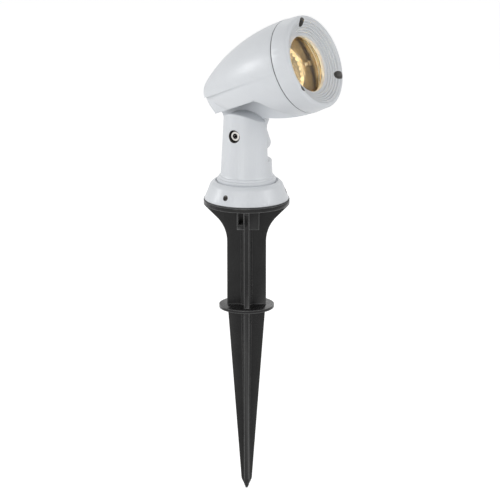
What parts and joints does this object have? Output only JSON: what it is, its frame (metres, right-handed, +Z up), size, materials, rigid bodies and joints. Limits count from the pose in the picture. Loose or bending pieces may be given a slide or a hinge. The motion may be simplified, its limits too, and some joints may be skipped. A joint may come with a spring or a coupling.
{
  "type": "garden spotlight on ground spike",
  "caption": "Outdoor spotlight for gardens and seasonal displays: aimable bullet-shaped lamp head on a swivel stem and a ground spike.",
  "frame": {"origin": "centre of the ground flange's underside, on the spike's axis", "axes": "+Z up along the spike, +X the way the lamp aims at rest, Y along the tilt bolt"},
  "size_m": [0.1419, 0.0954, 0.4944],
  "materials": {
    "black_plastic": "injection moulded, fine satin",
    "white_paint": "satin polyester powder coat on die-cast aluminium",
    "black_rubber": "moulded, matt",
    "silicone": "natural silicone",
    "stainless": "turned stainless steel",
    "brass": "plain brass",
    "white_nylon": "moulded nylon",
    "clear_glass": "clear toughened glass",
    "inner_aluminium": "spun aluminium, warm satin finish",
    "reflector_glass": "pressed glass with an aluminised inside",
    "phosphor": "warm phosphor over chips",
    "steatite": "unglazed electrical ceramic",
    "lead_sheath": "sheathed flexible lead"
  },
  "bodies": {
    "stake": {"ground_spike": "black_plastic", "cable_grommet": "black_rubber", "cord_clamp": "black_plastic", "cord_clamp_screws": "stainless", "terminal_block": "white_nylon", "terminal_screws": "brass", "terminal_block_screw": "stainless", "base_gasket": "black_rubber", "base_canopy": "white_paint", "base_set_screws": "stainless", "earth_screw": "brass", "thrust_washer": "white_nylon", "base_lead": "lead_sheath"},
    "stem": {"stem": "white_paint", "swivel_o_ring": "black_rubber", "swivel_washer": "stainless", "swivel_nut": "stainless", "knuckle_seal": "black_rubber", "knuckle_bolt": "stainless", "stem_lead": "lead_sheath"},
    "head": {"bezel_screws": "stainless", "bezel_seal": "black_rubber", "bracket_screws": "stainless", "front_bezel": "white_paint", "front_glass": "clear_glass", "glass_gasket": "silicone", "glass_snap_ring": "stainless", "head_housing": "white_paint", "head_lead": "lead_sheath", "holder_bracket": "stainless", "knuckle_nut": "stainless", "knuckle_washer": "stainless", "lamp_base": "steatite", "lamp_carrier": "inner_aluminium", "lamp_clip_screws": "stainless", "lamp_emitter": "phosphor", "lamp_lens": "clear_glass", "lamp_pins": "brass", "lamp_reflector": "reflector_glass", "lamp_retaining_ring": "inner_aluminium", "lampholder": "steatite", "light_sleeve": "inner_aluminium"}
  },
  "joints": [
    {"name": "pan", "type": "hinge", "parent": "stake", "child": "stem", "pos_m": [0, 0, 0.12975], "axis": [0, 0, 1], "range_deg": [-170, 170]},
    {"name": "tilt", "type": "hinge", "parent": "stem", "child": "head", "pos_m": [0, 0, 0.179], "axis": [0, -1, 0], "range_deg": [-60, 66]}
  ]
}
